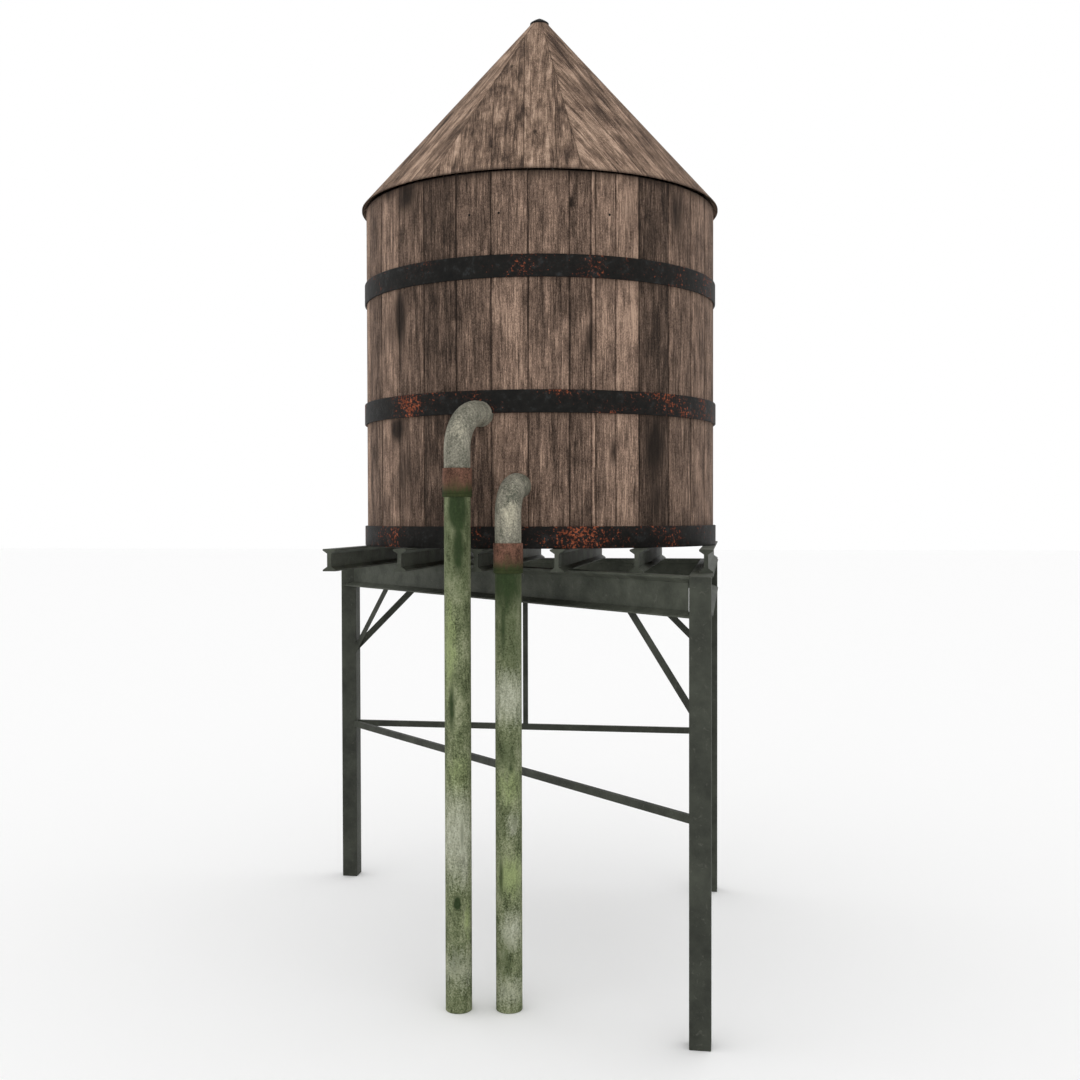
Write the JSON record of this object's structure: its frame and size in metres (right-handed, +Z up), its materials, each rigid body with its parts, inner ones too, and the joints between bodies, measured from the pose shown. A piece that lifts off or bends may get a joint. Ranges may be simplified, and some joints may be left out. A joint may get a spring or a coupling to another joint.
{
  "type": "water tower",
  "caption": "Round timber water tank with a conical board roof and iron hoops, on steel joists, beams and square legs, with upright pipes that elbow into its wall.",
  "frame": {"origin": "ground level, in the middle of the tower's bounding box in X and Y", "axes": "+Z up; the pictured front, with the two pipes, faces -Y and +X is to its right"},
  "size_m": [4.6442, 4.6442, 9.7701],
  "materials": {
    "tank_boards": "weathered, rough",
    "roof_boards": "weathered, rough",
    "hoop_iron": "black, rust specks",
    "cap_metal": "dull black",
    "steel_paint": "grey-green, worn",
    "pipe": "mossy, rough",
    "coupling": "rusty",
    "elbow": "grey, worn"
  },
  "bodies": {
    "root": {"tank_wall_1": "tank_boards", "tank_wall_2": "tank_boards", "tank_wall_3": "tank_boards", "tank_wall_4": "tank_boards", "tank_wall_5": "tank_boards", "tank_wall_6": "tank_boards", "tank_floor": "tank_boards", "roof_panel_1": "roof_boards", "roof_panel_2": "roof_boards", "roof_panel_3": "roof_boards", "roof_panel_4": "roof_boards", "roof_panel_5": "roof_boards", "roof_panel_6": "roof_boards", "hoop_bottom": "hoop_iron", "hoop_middle": "hoop_iron", "hoop_upper": "hoop_iron", "roof_cap": "cap_metal", "leg_corner": "steel_paint", "leg_front": "steel_paint", "leg_left": "steel_paint", "rear_beam": "steel_paint", "side_beam": "steel_paint", "diagonal_beam": "steel_paint", "joist_1": "steel_paint", "joist_2": "steel_paint", "joist_3": "steel_paint", "joist_4": "steel_paint", "joist_5": "steel_paint", "joist_6": "steel_paint", "rear_tie": "steel_paint", "side_tie": "steel_paint", "diagonal_tie": "steel_paint", "rear_hanger": "steel_paint", "brace_rear_left": "steel_paint", "brace_rear_corner": "steel_paint", "brace_side_front": "steel_paint", "brace_side_corner": "steel_paint", "brace_diagonal_front": "steel_paint", "brace_diagonal_left": "steel_paint", "riser_left": "pipe", "riser_right": "pipe", "coupling_left": "coupling", "coupling_right": "coupling", "elbow_left": "elbow", "elbow_right": "elbow"}
  },
  "joints": []
}
